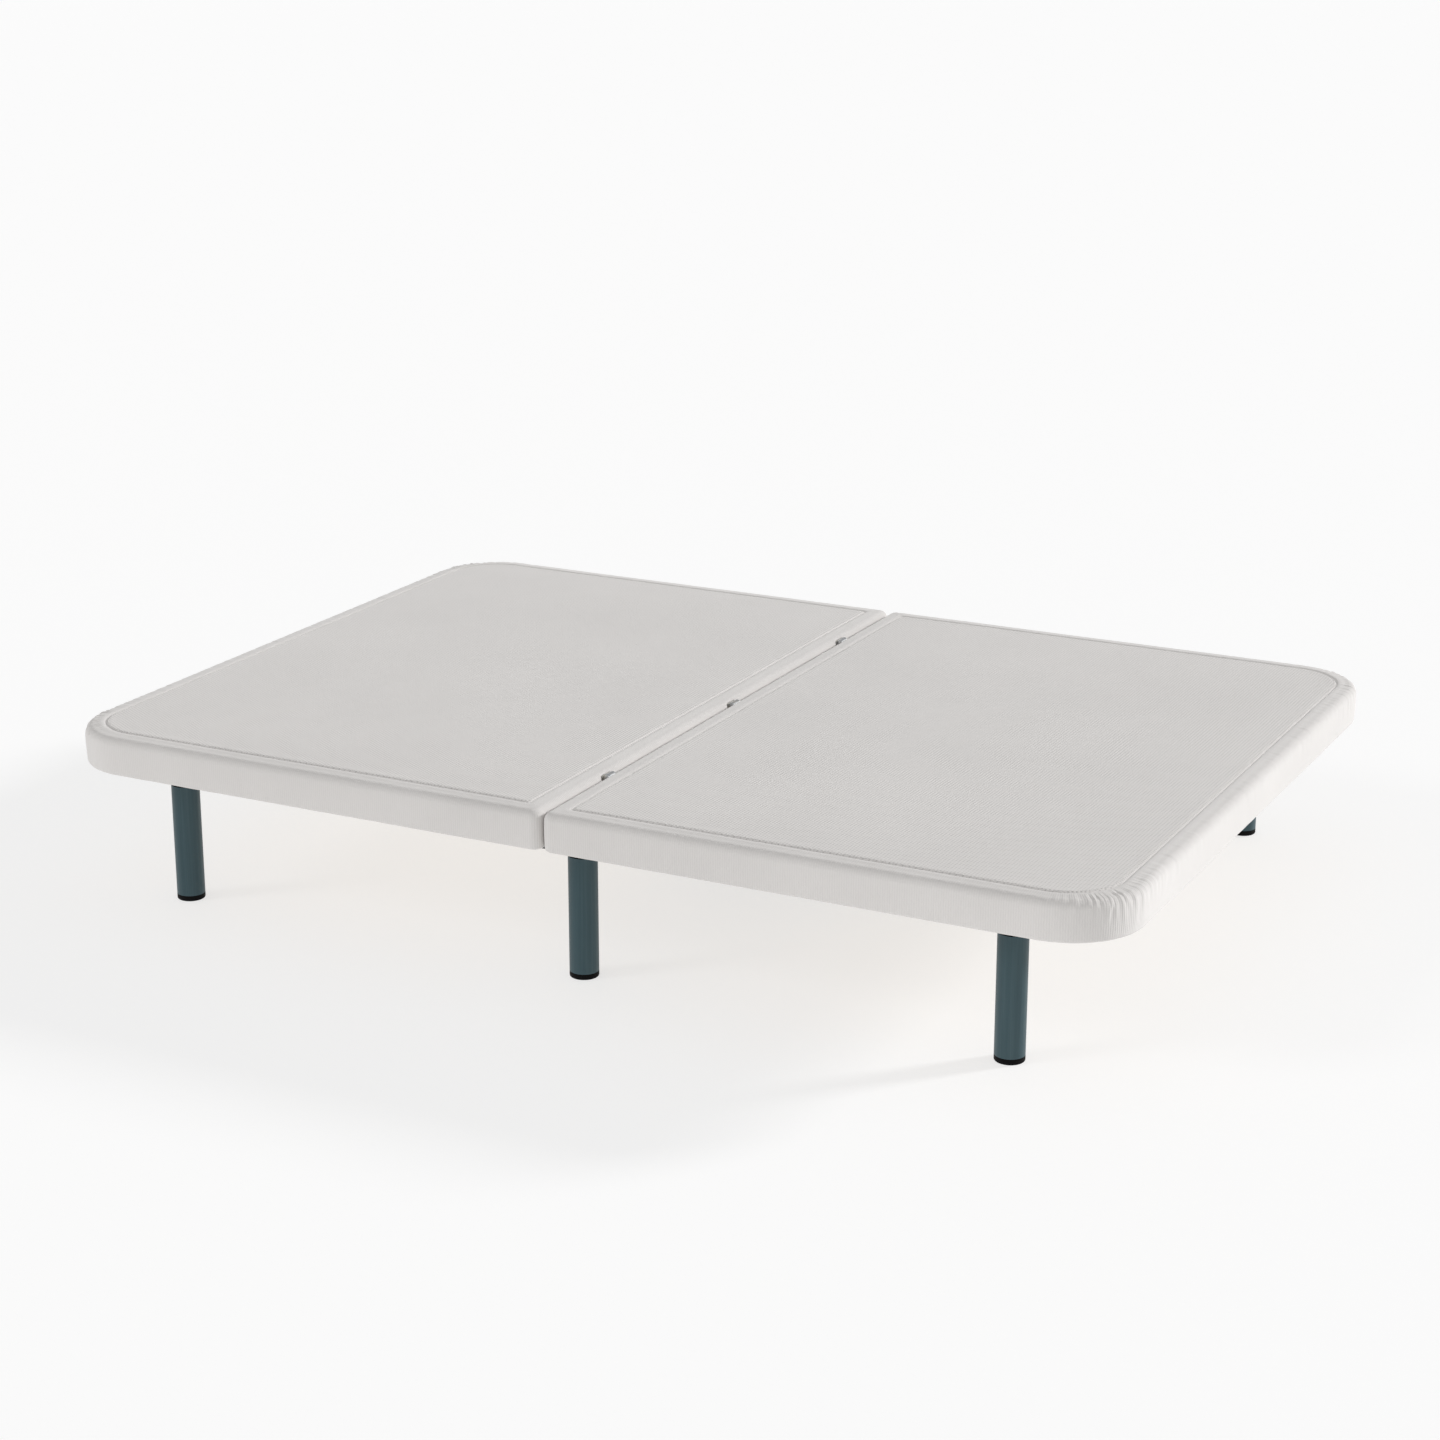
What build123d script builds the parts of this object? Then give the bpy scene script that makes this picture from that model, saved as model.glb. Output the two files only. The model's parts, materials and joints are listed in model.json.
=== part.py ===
from build123d import *
import math
import os

# Adjustable bed base, 135 x 190 cm: upholstered deck in two halves, head half lifts.
# Millimetres. +Z up, +Y towards the head, +X to the right of a person lying on the back.
# Origin on the floor, under the middle of the deck.

WIDTH = 1350.0            # deck, across
LENGTH = 1900.0           # deck, foot to head
TOP_Z = 305.0             # deck top above the floor
DECK_T = 65.0             # deck thickness
CORNER_R = 125.0          # plan radius of the four outer corners
SPLIT_GAP = 6.0           # slit between the two halves
SPLIT_CORNER_R = 16.0     # plan radius beside the slit
EDGE_R = 14.0             # rounding of the padded top edge
SKIN = 2.0                # upholstery fabric with its backing
FOAM_T = 18.0
BOARD_T = 12.0
RAIL_W = 22.0             # wooden border rails
FOLD_W = 20.0             # fabric folded under the border rails

HINGE_DROP = 9.0          # hinge axis below the deck top
LIFT_DEG = 60.0           # travel of the head half

TUBE_W = 40.0             # steel frame tube, width
TUBE_H = 25.0             # steel frame tube, height
TUBE_T = 2.0
TUBE_TOP = 237.0
SIDE_X = 575.0            # side tubes, bearers and legs
SIDE_END = 800.0
CROSS_Y = {"head": 755.0, "mid": -60.0, "drive": -290.0, "foot": -755.0}

LEG_Y = (760.0, -20.0, -755.0)
LEG_R = 24.0
GLIDE_H = 10.0
CAP_H = 5.0

HINGE_X = (-450.0, 0.0, 450.0)
PIVOT_Y = 70.0            # torque tube axis
PIVOT_Z = 253.0
TORQUE_R = 14.0
ARM_X = 300.0
ARM_LEN = 380.0
ROLLER_R = 15.0
LEVER_R = 75.0            # torque tube axis to lever nose
NOSE_R = 12.0
SPINDLE_Z = 156.0
SPINDLE_R = 7.0
RUN = 0.05                # radial running clearance

DECK_Z = TOP_Z - DECK_T
HINGE_Z = TOP_Z - HINGE_DROP
FOAM_Z = TOP_Z - SKIN - FOAM_T
BOARD_Z = FOAM_Z - BOARD_T
RAIL_Z = DECK_Z + SKIN
TUBE_Z = TUBE_TOP - TUBE_H
LIFT = math.radians(LIFT_DEG)
PIVOT_DROP = HINGE_Z - PIVOT_Z

# The arms turn a little further than the deck, by this constant ratio.
ARM_RATIO = 1 + math.asin((PIVOT_Y * math.sin(LIFT) - PIVOT_DROP * (1 - math.cos(LIFT))) / ARM_LEN) / LIFT
LEVER_HALF = ARM_RATIO * LIFT / 2
NOSE_GAP = 1.2
SLIDER_FACE = PIVOT_Y - LEVER_R * math.sin(LEVER_HALF) - NOSE_R - NOSE_GAP

os.makedirs("parts", exist_ok=True)


def span(x0, x1, y0, y1, z0, z1):
    """Box between two corners."""
    centre = Pos((x0 + x1) / 2, (y0 + y1) / 2, (z0 + z1) / 2)
    return centre * Box(abs(x1 - x0), abs(y1 - y0), abs(z1 - z0))


def rod_x(radius, x0, x1, y, z):
    """Cylinder along X."""
    return Pos((x0 + x1) / 2, y, z) * Rot(0, 90, 0) * Cylinder(radius, abs(x1 - x0))


def rod_y(radius, y0, y1, x, z):
    """Cylinder along Y."""
    return Pos(x, (y0 + y1) / 2, z) * Rot(90, 0, 0) * Cylinder(radius, abs(y1 - y0))


def rod_z(radius, z0, z1, x, y):
    """Cylinder along Z."""
    return Pos(x, y, (z0 + z1) / 2) * Cylinder(radius, abs(z1 - z0))


def plate_x(points, x0, x1):
    """Plate with a profile given as (y, z) points, standing between x0 and x1."""
    face = make_face(Polyline(*[(x0, y, z) for y, z in points], close=True))
    return extrude(face, amount=x1 - x0, dir=(1, 0, 0))


def save(name, *shapes):
    """One STEP per node; several shapes stay separate solids of that node."""
    shape = shapes[0] if len(shapes) == 1 else Compound(children=list(shapes))
    export_step(shape, "parts/" + name + ".step")


def to_foot(shape):
    """The same shape on the foot side of the slit."""
    return mirror(shape, about=Plane.XZ)


# ---------------------------------------------------------------- deck halves

def half_plan(inset):
    """Outline of the head half, moved inwards by inset."""
    depth = LENGTH / 2 - SPLIT_GAP / 2 - 2 * inset
    middle = SPLIT_GAP / 2 + inset + depth / 2
    plan = Pos(0, middle) * Rectangle(WIDTH - 2 * inset, depth)
    plan = fillet(plan.vertices().group_by(Axis.Y)[-1], CORNER_R - inset)
    if SPLIT_CORNER_R - inset > 1:
        plan = fillet(plan.vertices().group_by(Axis.Y)[0], SPLIT_CORNER_R - inset)
    return plan


def padded_block(inset):
    """Head half as one rounded block, inset from its outside."""
    height = DECK_T - 2 * inset
    block = Pos(0, 0, DECK_Z + inset) * extrude(half_plan(inset), amount=height)
    return fillet(block.edges().group_by(Axis.Z)[-1], EDGE_R - inset)


def hinge_notches(side):
    """Room for the hinges in cover, foam and board; side is +1 head, -1 foot."""
    cuts = []
    for x in HINGE_X:
        cuts.append(span(x - 15, x + 15, 0, side * (SPLIT_GAP / 2 + SKIN + RAIL_W), BOARD_Z, HINGE_Z))
        cuts.append(rod_x(9.5, x - 15, x + 15, 0, HINGE_Z))
    return cuts


def make_half(side):
    """Cover, foam, board, border rails, corner blocks and bearers of one half."""
    turn = (lambda s: s) if side > 0 else to_foot
    core = padded_block(SKIN)
    opening = Pos(0, 0, DECK_Z - 1) * extrude(half_plan(SKIN + FOLD_W), amount=SKIN + 2)
    cover = turn(padded_block(0) - core - opening)
    foam = turn(core & span(-WIDTH, WIDTH, 0, LENGTH, FOAM_Z, TOP_Z))
    board = turn(Pos(0, 0, BOARD_Z) * extrude(half_plan(SKIN), amount=BOARD_T))
    for cut in hinge_notches(side):
        cover = cover - cut
        foam = foam - cut
        board = board - cut
    ring = extrude(half_plan(SKIN), amount=BOARD_Z - RAIL_Z)
    ring = Pos(0, 0, RAIL_Z) * (ring - extrude(half_plan(SKIN + RAIL_W), amount=BOARD_Z - RAIL_Z))
    near = SPLIT_GAP / 2 + SKIN + RAIL_W
    far = LENGTH / 2 - CORNER_R
    flat = WIDTH / 2 - CORNER_R
    hinge_rail = turn(ring & span(-WIDTH, WIDTH, 0, near, 0, TOP_Z))
    end_rail = turn(ring & span(-flat, flat, far, LENGTH, 0, TOP_Z))
    sides = [turn(ring & span(s * flat, s * WIDTH, near, far, 0, TOP_Z)) for s in (-1, 1)]
    corners = [turn(ring & span(s * flat, s * WIDTH, far, LENGTH, 0, TOP_Z)) for s in (-1, 1)]
    bearers = [turn(span(s * (SIDE_X - 30), s * (SIDE_X + 30), near, 905, RAIL_Z, BOARD_Z)) for s in (-1, 1)]
    return cover, foam, board, hinge_rail, end_rail, sides, corners, bearers


def save_half(name, side, bearer_cuts=()):
    cover, foam, board, hinge_rail, end_rail, sides, corners, bearers = make_half(side)
    for cut in bearer_cuts:
        bearers = [b - cut for b in bearers]
    save(name + "_cover", cover)
    save(name + "_foam", foam)
    save(name + "_board", board)
    save(name + "_rail_hinge_side", hinge_rail)
    save(name + "_rail_end", end_rail)
    save(name + "_rail_left", sides[0])
    save(name + "_rail_right", sides[1])
    save(name + "_corner_blocks", *corners)
    save(name + "_bearers", *bearers)


# ---------------------------------------------------------------- hinges

HUB_R = 7.0
PIN_R = 4.0


def knuckle(side, x0, x1, bore):
    """Ear or tongue: a hub on the hinge axis with a neck down to its base plate."""
    neck = [(side * 25, BOARD_Z + 4), (side * 8, BOARD_Z + 4), (0, HINGE_Z - HUB_R + 1),
            (0, HINGE_Z), (side * HUB_R, HINGE_Z)]
    shape = plate_x(neck, x0, x1) + rod_x(HUB_R, x0, x1, 0, HINGE_Z)
    return shape - rod_x(bore, x0 - 1, x1 + 1, 0, HINGE_Z)


def hinge_base(x, side):
    """Base plate screwed down on the border rail through the notch in the board."""
    y0, y1 = sorted((side * 5.5, side * 26))
    return span(x - 14, x + 14, y0, y1, BOARD_Z, BOARD_Z + 4)


def make_hinges():
    clevises, tongues, pins = [], [], []
    for x in HINGE_X:
        ears = knuckle(-1, x - 12, x - 7, PIN_R) + knuckle(-1, x + 7, x + 12, PIN_R)
        clevises.append(hinge_base(x, -1) + ears)
        tongues.append(hinge_base(x, 1) + knuckle(1, x - 6.5, x + 6.5, PIN_R + RUN))
        pins.append(rod_x(PIN_R, x - 13, x + 13, 0, HINGE_Z))
    save("hinge_clevises", *clevises)
    save("hinge_tongues", *tongues)
    save("hinge_pins", *pins)


# ---------------------------------------------------------------- steel frame

def tube_along_y(x, y0, y1):
    outer = span(x - TUBE_W / 2, x + TUBE_W / 2, y0, y1, TUBE_Z, TUBE_TOP)
    outer = fillet(outer.edges().filter_by(Axis.Y), 3)
    half = TUBE_W / 2 - TUBE_T
    return outer - span(x - half, x + half, y0 - 1, y1 + 1, TUBE_Z + TUBE_T, TUBE_TOP - TUBE_T)


def tube_along_x(y):
    reach = SIDE_X - TUBE_W / 2
    outer = span(-reach, reach, y - TUBE_W / 2, y + TUBE_W / 2, TUBE_Z, TUBE_TOP)
    outer = fillet(outer.edges().filter_by(Axis.X), 3)
    half = TUBE_W / 2 - TUBE_T
    return outer - span(-reach - 1, reach + 1, y - half, y + half, TUBE_Z + TUBE_T, TUBE_TOP - TUBE_T)


FOOT_BOLT_Y = (-120.0, -420.0, -690.0)
PAD_Y = (120.0, 420.0, 690.0)
DRIVE_BOLT_X = 35.0


def make_frame():
    for name, s in (("left", -1), ("right", 1)):
        tube = tube_along_y(s * SIDE_X, -SIDE_END, SIDE_END)
        for y in LEG_Y:
            tube = tube - rod_z(8, TUBE_Z - 1, TUBE_Z + 5, s * SIDE_X, y)
        for y in FOOT_BOLT_Y:
            tube = tube - rod_z(4, TUBE_Z - 1, TUBE_TOP + 1, s * SIDE_X, y)
        save("side_tube_" + name, tube)
    for name, y in CROSS_Y.items():
        tube = tube_along_x(y)
        if name in ("mid", "drive"):
            for s in (-1, 1):
                tube = tube - rod_z(4, TUBE_Z - 1, TUBE_TOP + 1, s * DRIVE_BOLT_X, y)
        save("cross_tube_" + name, tube)
    caps = []
    for s in (-1, 1):
        for t in (-1, 1):
            x = s * SIDE_X
            lip = span(x - TUBE_W / 2, x + TUBE_W / 2, t * SIDE_END, t * (SIDE_END + 3), TUBE_Z, TUBE_TOP)
            lip = fillet(lip.edges().filter_by(Axis.Y), 3)
            plug = span(x - 17.5, x + 17.5, t * (SIDE_END - 14), t * SIDE_END, TUBE_Z + 2.5, TUBE_TOP - 2.5)
            caps.append(lip + plug)
    save("tube_end_caps", *caps)


def make_legs():
    names = ("head", "middle", "foot")
    glides, caps, inserts = [], [], []
    top = TUBE_Z
    for side, s in (("left", -1), ("right", 1)):
        for name, y in zip(names, LEG_Y):
            x = s * SIDE_X
            body = rod_z(LEG_R, GLIDE_H, top - CAP_H, x, y)
            body = body - rod_z(LEG_R - 1.5, 0, top, x, y)
            save("leg_" + name + "_" + side, body)
            foot = rod_z(LEG_R, 0, GLIDE_H, x, y)
            foot = fillet(foot.edges().group_by(Axis.Z)[0], 2.5)
            glides.append(foot + rod_z(LEG_R - 1.6, GLIDE_H, GLIDE_H + 14, x, y))
            cap = rod_z(LEG_R, top - CAP_H, top, x, y)
            cap += rod_z(LEG_R - 1.6, top - CAP_H - 14, top - CAP_H, x, y)
            caps.append(cap + rod_z(5, top, top + 17, x, y))
            insert = rod_z(8, top, top + 14, x, y) - rod_z(5, top - 1, top + 15, x, y)
            inserts.append(insert)
    save("leg_glides", *glides)
    save("leg_studs", *caps)
    save("leg_inserts", *inserts)


def bolt_up(x, y, z0, z1, head=5.0):
    """Bolt with its head below z0 and its shank up to z1."""
    hexagon = extrude(Pos(x, y, z0 - head) * RegularPolygon(7.2, 6), amount=head)
    return hexagon + rod_z(4, z0, z1, x, y)


def bolt_down(x, y, z0, z1, head=5.0):
    """Bolt with its head above z1 and its shank down to z0."""
    hexagon = extrude(Pos(x, y, z1) * RegularPolygon(7.2, 6), amount=head)
    return hexagon + rod_z(4, z0, z1, x, y)


def foot_bolt_cuts():
    cuts = []
    for s in (-1, 1):
        for y in FOOT_BOLT_Y:
            cuts.append(rod_z(4, RAIL_Z - 1, RAIL_Z + 22, s * SIDE_X, y))
    return cuts


def make_supports():
    bolts, spacers, pads = [], [], []
    for s in (-1, 1):
        x = s * SIDE_X
        for y in FOOT_BOLT_Y:
            bolts.append(bolt_up(x, y, TUBE_Z, RAIL_Z + 22))
            ring = rod_z(14, TUBE_TOP, RAIL_Z, x, y) - rod_z(4, TUBE_TOP - 1, RAIL_Z + 1, x, y)
            spacers.append(ring)
        for y in PAD_Y:
            pads.append(span(x - 15, x + 15, y - 20, y + 20, TUBE_TOP, RAIL_Z - 0.3))
    save("deck_spacers", *spacers)
    save("rest_pads", *pads)
    for y in (CROSS_Y["mid"], CROSS_Y["drive"]):
        for s in (-1, 1):
            bolts.append(bolt_down(s * DRIVE_BOLT_X, y, HOUSE_TOP - 15, TUBE_TOP))
    save("frame_bolts", *bolts)


# ---------------------------------------------------------------- lifting gear

def deck_path(theta):
    """Roller centre seen from the head half when that half is lifted by theta."""
    lead = (ARM_RATIO - 1) * theta
    u = PIVOT_Y * math.cos(theta) - PIVOT_DROP * math.sin(theta) + ARM_LEN * math.cos(lead)
    v = -PIVOT_Y * math.sin(theta) - PIVOT_DROP * math.cos(theta) + ARM_LEN * math.sin(lead)
    return u, v


def track_points():
    """Sole of the lift track: the roller's path moved up by its radius and a hair.

    It runs from 10 degrees before the lowest position to 5 degrees past the highest, where it
    is still below the board.
    """
    points = []
    reach = ROLLER_R + 0.3
    step = LIFT / 12
    for i in range(-2, 14):
        u0, v0 = deck_path((i - 0.5) * step)
        u1, v1 = deck_path((i + 0.5) * step)
        u, v = deck_path(i * step)
        length = math.hypot(u1 - u0, v1 - v0)
        normal = ((v1 - v0) / length, -(u1 - u0) / length)
        points.append((u + normal[0] * reach, HINGE_Z + v + normal[1] * reach))
    return points


def make_tracks():
    sole = track_points()
    tracks = []
    for s in (-1, 1):
        x0 = s * (ARM_X + 17) - 13
        edge = Spline(*[(x0, y, z) for y, z in sole])
        first, last = sole[0], sole[-1]
        rest = Polyline((x0, last[0], last[1]), (x0, last[0] - 12, BOARD_Z), (x0, first[0] + 12, BOARD_Z),
                        (x0, first[0], first[1]))
        tracks.append(extrude(make_face(edge + rest), amount=26, dir=(1, 0, 0)))
    save("lift_tracks", *tracks)


def make_torque_tube():
    tube = rod_x(TORQUE_R, -ARM_X - 12, ARM_X + 12, PIVOT_Y, PIVOT_Z)
    tube = tube - rod_x(TORQUE_R - 2, -ARM_X - 13, ARM_X + 13, PIVOT_Y, PIVOT_Z)
    save("torque_tube", tube)
    arms, pins, rollers = [], [], []
    tip = PIVOT_Y + ARM_LEN
    for s in (-1, 1):
        x0, x1 = sorted((s * (ARM_X - 3), s * (ARM_X + 3)))
        arm = plate_x([(PIVOT_Y, PIVOT_Z - 15), (tip, PIVOT_Z - 10), (tip, PIVOT_Z + 10),
                       (PIVOT_Y, PIVOT_Z + 15)], x0, x1)
        arm = arm + rod_x(18, x0, x1, PIVOT_Y, PIVOT_Z) + rod_x(10, x0, x1, tip, PIVOT_Z)
        arm = arm - rod_x(TORQUE_R, x0 - 1, x1 + 1, PIVOT_Y, PIVOT_Z)
        arm = arm - rod_x(5, x0 - 1, x1 + 1, tip, PIVOT_Z)
        arms.append(arm)
        pin = rod_x(5, s * (ARM_X - 3), s * (ARM_X + 27), tip, PIVOT_Z)
        pins.append(pin + rod_x(8, s * (ARM_X + 26), s * (ARM_X + 28), tip, PIVOT_Z))
        roller = rod_x(ROLLER_R, s * (ARM_X + 4), s * (ARM_X + 25), tip, PIVOT_Z)
        roller = fillet(roller.edges().filter_by(GeomType.CIRCLE), 1.5)
        rollers.append(roller - rod_x(5 + RUN, s * (ARM_X + 3), s * (ARM_X + 26), tip, PIVOT_Z))
    save("lift_arms", *arms)
    save("roller_pins", *pins)
    save("roller_left", rollers[0])
    save("roller_right", rollers[1])


def make_lever():
    sine, cosine = math.sin(LEVER_HALF), math.cos(LEVER_HALF)
    nose = (PIVOT_Y - LEVER_R * sine, PIVOT_Z - LEVER_R * cosine)
    wide, slim = 14, 6
    profile = [(PIVOT_Y + wide * cosine, PIVOT_Z - wide * sine),
               (PIVOT_Y - wide * cosine, PIVOT_Z + wide * sine),
               (nose[0] - slim * cosine, nose[1] + slim * sine),
               (nose[0] + slim * cosine, nose[1] - slim * sine)]
    ends = rod_x(18, -5, 5, PIVOT_Y, PIVOT_Z) + rod_x(NOSE_R, -5, 5, nose[0], nose[1])
    lever = plate_x(profile, -5, 5) + ends
    save("drive_lever", lever - rod_x(TORQUE_R, -6, 6, PIVOT_Y, PIVOT_Z))


BRACKET_X = (-260.0, -66.0, 66.0, 260.0)


def make_brackets():
    brackets, bushes = [], []
    face = CROSS_Y["mid"] + TUBE_W / 2
    for x in BRACKET_X:
        profile = [(face, TUBE_Z), (PIVOT_Y + 12, TUBE_Z), (PIVOT_Y + 19.5, PIVOT_Z),
                   (PIVOT_Y - 18, PIVOT_Z - 7), (PIVOT_Y - 14, TUBE_TOP), (face, TUBE_TOP)]
        bracket = plate_x(profile, x - 3, x + 3) + rod_x(19.5, x - 3, x + 3, PIVOT_Y, PIVOT_Z)
        brackets.append(bracket - rod_x(16.5, x - 4, x + 4, PIVOT_Y, PIVOT_Z))
        bush = rod_x(16.5, x - 5, x + 5, PIVOT_Y, PIVOT_Z)
        bushes.append(bush - rod_x(TORQUE_R + RUN, x - 6, x + 6, PIVOT_Y, PIVOT_Z))
    save("torque_brackets", *brackets)
    save("torque_bushes", *bushes)


# ---------------------------------------------------------------- drive unit

HOUSE_X = 56.0
HOUSE_Y = (-330.0, 130.0)
HOUSE_Z = 130.0
HOUSE_SPLIT = 170.0
HOUSE_TOP = 209.0
HOUSE_T = 3.0
MOTOR_R = 22.0


def shell(z0, z1):
    """Rounded box of the drive housing between two heights."""
    block = span(-HOUSE_X, HOUSE_X, HOUSE_Y[0], HOUSE_Y[1], z0, z1)
    return fillet(block.edges().filter_by(Axis.Z), 12)


def hollow(z0, z1):
    inner = HOUSE_X - HOUSE_T
    block = span(-inner, inner, HOUSE_Y[0] + HOUSE_T, HOUSE_Y[1] - HOUSE_T, z0, z1)
    return fillet(block.edges().filter_by(Axis.Z), 9)


def make_housing():
    lower = shell(HOUSE_Z, HOUSE_SPLIT)
    lower = fillet(lower.edges().group_by(Axis.Z)[0], 5)
    lower = lower - hollow(HOUSE_Z + HOUSE_T, HOUSE_SPLIT + 1)
    save("drive_housing", lower)
    upper = shell(HOUSE_SPLIT, HOUSE_TOP)
    upper = fillet(upper.edges().group_by(Axis.Z)[-1], 5)
    upper = upper - hollow(HOUSE_SPLIT - 1, HOUSE_TOP - HOUSE_T)
    upper = upper - span(-12, 12, PIVOT_Y - 48, PIVOT_Y + 48, HOUSE_TOP - 10, HOUSE_TOP + 1)
    upper = upper - span(-8, 8, HOUSE_Y[0] - 1, HOUSE_Y[0] + 10, 183, 199)
    for y in (CROSS_Y["mid"], CROSS_Y["drive"]):
        for s in (-1, 1):
            upper = upper + rod_z(8, HOUSE_TOP - 20, HOUSE_TOP, s * DRIVE_BOLT_X, y)
            upper = upper - rod_z(4, HOUSE_TOP - 16, HOUSE_TOP + 1, s * DRIVE_BOLT_X, y)
    save("drive_cover", upper)


def make_drive():
    motor = rod_y(MOTOR_R, -320, -213, 0, SPINDLE_Z)
    save("drive_motor", fillet(motor.edges().filter_by(GeomType.CIRCLE), 2))
    gearbox = rod_y(MOTOR_R, -213, -165, 0, SPINDLE_Z) - rod_y(SPINDLE_R + RUN, -180, -164, 0, SPINDLE_Z)
    save("drive_gearbox", gearbox)
    thrust = span(-24, 24, -165, -150, HOUSE_Z + HOUSE_T, 182)
    thrust -= rod_y(SPINDLE_R + RUN, -166, -149, 0, SPINDLE_Z)
    end = span(-24, 24, 112, 124, HOUSE_Z + HOUSE_T, 173) - rod_y(SPINDLE_R + RUN, 111, 125, 0, SPINDLE_Z)
    save("spindle_bearings", thrust, end)
    spindle = rod_y(SPINDLE_R, -179, 123, 0, SPINDLE_Z)
    save("drive_spindle", chamfer(spindle.edges().filter_by(GeomType.CIRCLE), 1))
    slider = span(-24, 24, SLIDER_FACE - 50, SLIDER_FACE, 139, 177)
    slider = slider + span(-20, 20, SLIDER_FACE - 12, SLIDER_FACE, 170, 196)
    slider = slider + span(-52.5, 52.5, SLIDER_FACE - 50, SLIDER_FACE, 147, 153)
    slider = slider - rod_y(SPINDLE_R + RUN, SLIDER_FACE - 51, SLIDER_FACE + 1, 0, SPINDLE_Z)
    save("drive_slider", slider)
    save("control_board", span(-26, 26, -314, -170, 186, 188))
    socket = span(-8, 8, HOUSE_Y[0] - 3, HOUSE_Y[0] + 14, 183, 199)
    save("power_socket", socket - rod_y(3, HOUSE_Y[0] - 4, HOUSE_Y[0] + 8, 0, 191))
    plates = []
    for y in (CROSS_Y["mid"], CROSS_Y["drive"]):
        plate = span(-50, 50, y - 18, y + 18, HOUSE_TOP, TUBE_Z)
        for s in (-1, 1):
            plate = plate - rod_z(4, HOUSE_TOP - 1, TUBE_Z + 1, s * DRIVE_BOLT_X, y)
        plates.append(plate)
    save("drive_hanger_pads", *plates)


save_half("head", 1)
save_half("foot", -1, foot_bolt_cuts())
make_hinges()
make_frame()
make_legs()
make_supports()
make_tracks()
make_torque_tube()
make_lever()
make_brackets()
make_housing()
make_drive()
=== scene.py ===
import bisect
import json
import math
import random

import bmesh
import bpy
import numpy as np
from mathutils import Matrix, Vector, noise


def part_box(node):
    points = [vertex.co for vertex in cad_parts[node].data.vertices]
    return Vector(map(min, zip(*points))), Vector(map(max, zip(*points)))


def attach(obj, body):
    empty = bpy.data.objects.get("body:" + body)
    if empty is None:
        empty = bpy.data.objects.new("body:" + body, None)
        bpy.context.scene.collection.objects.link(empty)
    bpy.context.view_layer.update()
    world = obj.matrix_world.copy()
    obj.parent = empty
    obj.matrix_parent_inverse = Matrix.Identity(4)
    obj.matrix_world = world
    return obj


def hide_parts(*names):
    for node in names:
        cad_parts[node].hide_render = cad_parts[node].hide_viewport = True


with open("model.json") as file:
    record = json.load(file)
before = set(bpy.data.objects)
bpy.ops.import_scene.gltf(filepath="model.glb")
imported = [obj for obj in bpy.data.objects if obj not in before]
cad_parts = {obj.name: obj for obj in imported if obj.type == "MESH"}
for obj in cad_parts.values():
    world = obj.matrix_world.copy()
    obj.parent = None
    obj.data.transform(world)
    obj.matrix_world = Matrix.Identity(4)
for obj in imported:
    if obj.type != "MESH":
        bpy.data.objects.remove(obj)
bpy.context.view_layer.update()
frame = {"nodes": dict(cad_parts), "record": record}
NODES = frame["nodes"]
MM = 0.001

# ------------------------------------------------------------------ camera, floor, light

AZIMUTH = math.radians(-62.949)
ELEVATION = math.radians(17.357)
CAMERA_AT = (-4.4182, -2.2280, 1.8148)
LENS = 73.83
SWEEP_FLAT = 26.0
SWEEP_CURVE = 14.0
SKY = 0.43


def make_camera():
    back = Vector((math.sin(AZIMUTH) * math.cos(ELEVATION), -math.cos(AZIMUTH) * math.cos(ELEVATION),
                   math.sin(ELEVATION)))
    data = bpy.data.cameras.new("camera")
    data.lens = LENS
    data.sensor_width = 36.0
    data.clip_end = 60.0
    cam = bpy.data.objects.new("camera", data)
    cam.location = CAMERA_AT
    cam.rotation_euler = back.to_track_quat("Z", "Y").to_euler()
    bpy.context.scene.collection.objects.link(cam)
    bpy.context.scene.camera = cam


def sun_light(name, towards, strength, spread):
    """Broad light from far off; towards points from the bed to it."""
    data = bpy.data.lights.new(name, "SUN")
    data.energy = strength
    data.angle = math.radians(spread)
    lamp = bpy.data.objects.new(name, data)
    lamp.rotation_euler = Vector(towards).to_track_quat("Z", "Y").to_euler()
    bpy.context.scene.collection.objects.link(lamp)


def studio_sweep():
    """Flat floor that curves up into a low wall far from the bed."""
    profile = [(SWEEP_FLAT, 0.0)]
    for degrees in (12, 24, 34, 43):
        angle = math.radians(degrees)
        out = SWEEP_FLAT + SWEEP_CURVE * math.sin(angle)
        profile.append((out, SWEEP_CURVE * (1 - math.cos(angle))))
    sides = 32
    verts = [(0.0, 0.0, 0.0)]
    for r, z in profile:
        for k in range(sides):
            angle = 2 * math.pi * k / sides
            verts.append((r * math.cos(angle), r * math.sin(angle), z))
    faces = [(0, 1 + k, 1 + (k + 1) % sides) for k in range(sides)]
    for row in range(len(profile) - 1):
        low = 1 + row * sides
        for k in range(sides):
            j = (k + 1) % sides
            faces.append((low + k, low + sides + k, low + sides + j, low + j))
    mesh = bpy.data.meshes.new("floor")
    mesh.from_pydata(verts, [], faces)
    for face in mesh.polygons:
        face.use_smooth = True
    return mesh


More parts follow.
